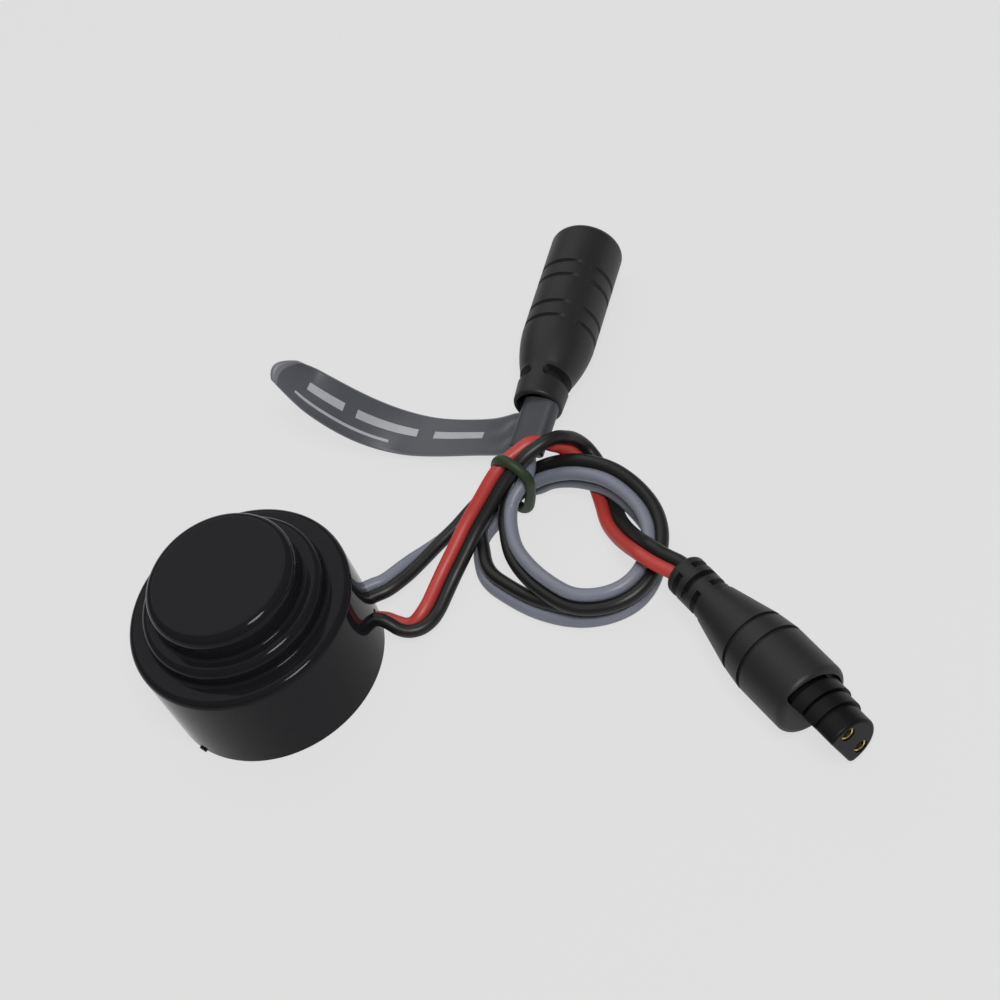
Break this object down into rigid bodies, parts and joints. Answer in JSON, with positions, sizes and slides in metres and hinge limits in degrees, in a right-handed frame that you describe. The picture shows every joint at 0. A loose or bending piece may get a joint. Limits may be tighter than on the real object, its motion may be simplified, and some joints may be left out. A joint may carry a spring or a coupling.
{
  "type": "flush valve sensor module",
  "caption": "Round stepped infrared sensor for a flush valve, with twin-wire leads, a barrel connector, a keyed plug, a tied loop and a label flag.",
  "frame": {"origin": "centre of the sensor housing's back rim, on the surface that it rests on", "axes": "+Z along the sensor's axis, from its back towards its window; +X towards the side where the leads leave"},
  "size_m": [0.1029, 0.118, 0.0266],
  "materials": {
    "housing_gloss": "polished infrared-passing moulding",
    "potting_black": "cast sealing compound",
    "board_laminate": "glass laminate with solder mask",
    "divider_black": "moulded",
    "diode_lens": "dark clear lens",
    "chip_body": "moulded",
    "capacitor_can": "drawn can",
    "lead_red_black": "satin wire insulation, one core red and one black",
    "lead_grey_black": "satin wire insulation, one core grey and one black",
    "tie_green": "coated wire",
    "label_film": "printed film, bare of words",
    "connector_black": "satin overmoulding",
    "contact_gold": "gold plated"
  },
  "bodies": {
    "root": {"sensor_housing": "housing_gloss", "circuit_board": "board_laminate", "light_divider": "divider_black", "emitter_diode": "diode_lens", "receiver_diode": "diode_lens", "control_chip": "chip_body", "storage_capacitor": "capacitor_can", "potting_fill": "potting_black", "valve_lead": "lead_red_black", "sensor_lead": "lead_grey_black", "connector_lead": "lead_grey_black", "lead_coil": "lead_grey_black", "lead_tie": "tie_green", "label_flag": "label_film", "plug_shell": "connector_black", "plug_core": "connector_black", "plug_contacts": "contact_gold", "barrel_shell": "connector_black", "barrel_core": "connector_black", "barrel_pins": "contact_gold"}
  },
  "joints": []
}
